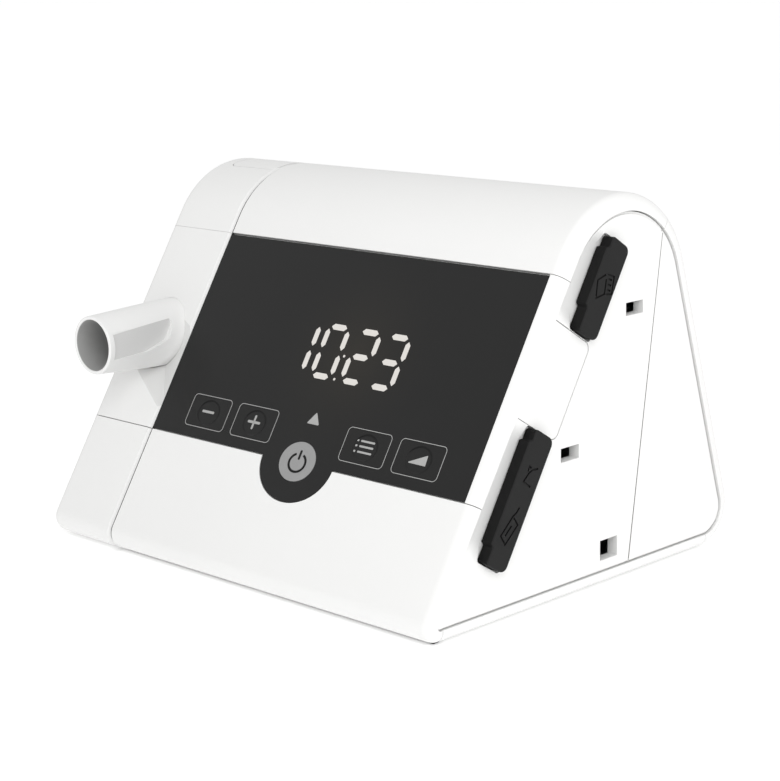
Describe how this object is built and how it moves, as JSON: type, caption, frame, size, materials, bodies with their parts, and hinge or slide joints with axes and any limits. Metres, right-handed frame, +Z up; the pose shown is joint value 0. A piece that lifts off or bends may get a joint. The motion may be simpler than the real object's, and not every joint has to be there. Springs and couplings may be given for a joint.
{
  "type": "cpap machine",
  "caption": "Bedside CPAP machine with a wedge-shaped housing, sloping display and keys, pull-off outlet module with hose cone, and rubber flaps over the side ports.",
  "frame": {"origin": "centre of the footprint, on the surface the machine stands on", "axes": "+X to the machine's right as seen from the front, +Y to its rear, +Z up"},
  "size_m": [0.2004, 0.1618, 0.135],
  "materials": {
    "white_shell": "satin",
    "dark_film": "semi-gloss",
    "grey_key": "matte",
    "black_rubber": "matte",
    "grey_silicone": "matte",
    "circuit_board": "semi-gloss",
    "dark_moulding": "matte",
    "steel": "brushed",
    "ribbon": "semi-gloss",
    "foam": "open foam",
    "fleece": "fleece",
    "grey_moulding": "matte"
  },
  "bodies": {
    "housing": {"top_cover": "white_shell", "display_frame": "white_shell", "lower_front_cover": "white_shell", "base_plate": "white_shell", "rear_housing": "white_shell", "right_side_panel": "white_shell", "rear_side_panel": "white_shell", "module_plate": "grey_moulding", "control_panel_film": "dark_film", "display_board": "circuit_board", "digit_display": "dark_moulding", "key_contact_mat": "grey_silicone", "main_board": "circuit_board", "ribbon_cable": "ribbon", "card_socket": "steel", "data_socket": "steel", "module_connector": "dark_moulding", "coarse_filter": "foam", "fine_filter": "fleece", "power_inlet_socket": "dark_moulding", "foot_1": "black_rubber", "foot_2": "black_rubber", "foot_3": "black_rubber", "foot_4": "black_rubber", "base_screw_1": "steel", "base_screw_2": "steel", "base_screw_3": "steel", "base_screw_4": "steel", "outlet_duct": "grey_silicone", "blower_lower_housing": "grey_moulding", "blower_upper_housing": "grey_moulding", "blower_motor": "steel", "motor_bearing_lower": "steel", "motor_bearing_upper": "steel", "blower_mount_1": "black_rubber", "blower_mount_2": "black_rubber", "blower_mount_3": "black_rubber", "silencer_tray": "grey_moulding", "silencer_foam": "foam", "silencer_lid": "grey_moulding"},
    "outlet_module": {"outlet_side_shell": "white_shell", "outlet_top_cover": "white_shell", "outlet_mid_cover": "white_shell", "outlet_lower_cover": "white_shell", "outlet_nozzle": "white_shell", "outlet_elbow": "white_shell", "outlet_seal": "grey_silicone", "release_spring": "steel"},
    "release_button": {"release_button": "white_shell"},
    "minus_key": {"minus_key": "dark_film"},
    "plus_key": {"plus_key": "dark_film"},
    "list_key": {"list_key": "dark_film"},
    "ramp_key": {"ramp_key": "dark_film"},
    "power_key": {"power_key": "grey_key"},
    "card_flap": {"card_flap": "black_rubber"},
    "port_flap": {"port_flap": "black_rubber"},
    "filter_cover": {"filter_cover": "white_shell"},
    "memory_card": {"memory_card": "dark_moulding"},
    "rotor": {"impeller": "dark_moulding", "rotor_shaft": "steel"}
  },
  "joints": [
    {"name": "minus_key_press", "type": "slide", "parent": "housing", "child": "minus_key", "axis": [0, 0.8494, -0.5277], "range_m": [0, 0.0006], "stiffness_N_per_m": 2500},
    {"name": "plus_key_press", "type": "slide", "parent": "housing", "child": "plus_key", "axis": [0, 0.8494, -0.5277], "range_m": [0, 0.0006], "stiffness_N_per_m": 2500},
    {"name": "list_key_press", "type": "slide", "parent": "housing", "child": "list_key", "axis": [0, 0.8494, -0.5277], "range_m": [0, 0.0006], "stiffness_N_per_m": 2500},
    {"name": "ramp_key_press", "type": "slide", "parent": "housing", "child": "ramp_key", "axis": [0, 0.8494, -0.5277], "range_m": [0, 0.0006], "stiffness_N_per_m": 2500},
    {"name": "power_key_press", "type": "slide", "parent": "housing", "child": "power_key", "axis": [0, 0.8494, -0.5277], "range_m": [0, 0.0006], "stiffness_N_per_m": 2500},
    {"name": "outlet_module_pull", "type": "slide", "parent": "housing", "child": "outlet_module", "axis": [-1, 0, 0], "range_m": [0, 0.04]},
    {"name": "release_press", "type": "slide", "parent": "outlet_module", "child": "release_button", "axis": [0, 0, -1], "range_m": [0, 0.003], "stiffness_N_per_m": 900, "deforming": ["release_spring"]},
    {"name": "card_flap_hinge", "type": "hinge", "parent": "housing", "child": "card_flap", "pos_m": [0.0977, -0.00328, 0.10832], "axis": [0, -0.5277, -0.8494], "range_deg": [0, 95]},
    {"name": "port_flap_hinge", "type": "hinge", "parent": "housing", "child": "port_flap", "pos_m": [0.0977, -0.04595, 0.04456], "axis": [0, -0.5277, -0.8494], "range_deg": [0, 95]},
    {"name": "filter_cover_hinge", "type": "hinge", "parent": "housing", "child": "filter_cover", "pos_m": [-0.00195, 0.0755, 0.03561], "axis": [-1, 0, 0], "range_deg": [0, 100]},
    {"name": "memory_card_latch", "type": "slide", "parent": "housing", "child": "memory_card", "axis": [-1, 0, 0], "range_m": [0, 0.0012], "stiffness_N_per_m": 400},
    {"name": "rotor_spin", "type": "hinge", "parent": "housing", "child": "rotor", "pos_m": [-0.0102, 0.01752, 0.06583], "axis": [0, 0, 1], "continuous": true}
  ]
}
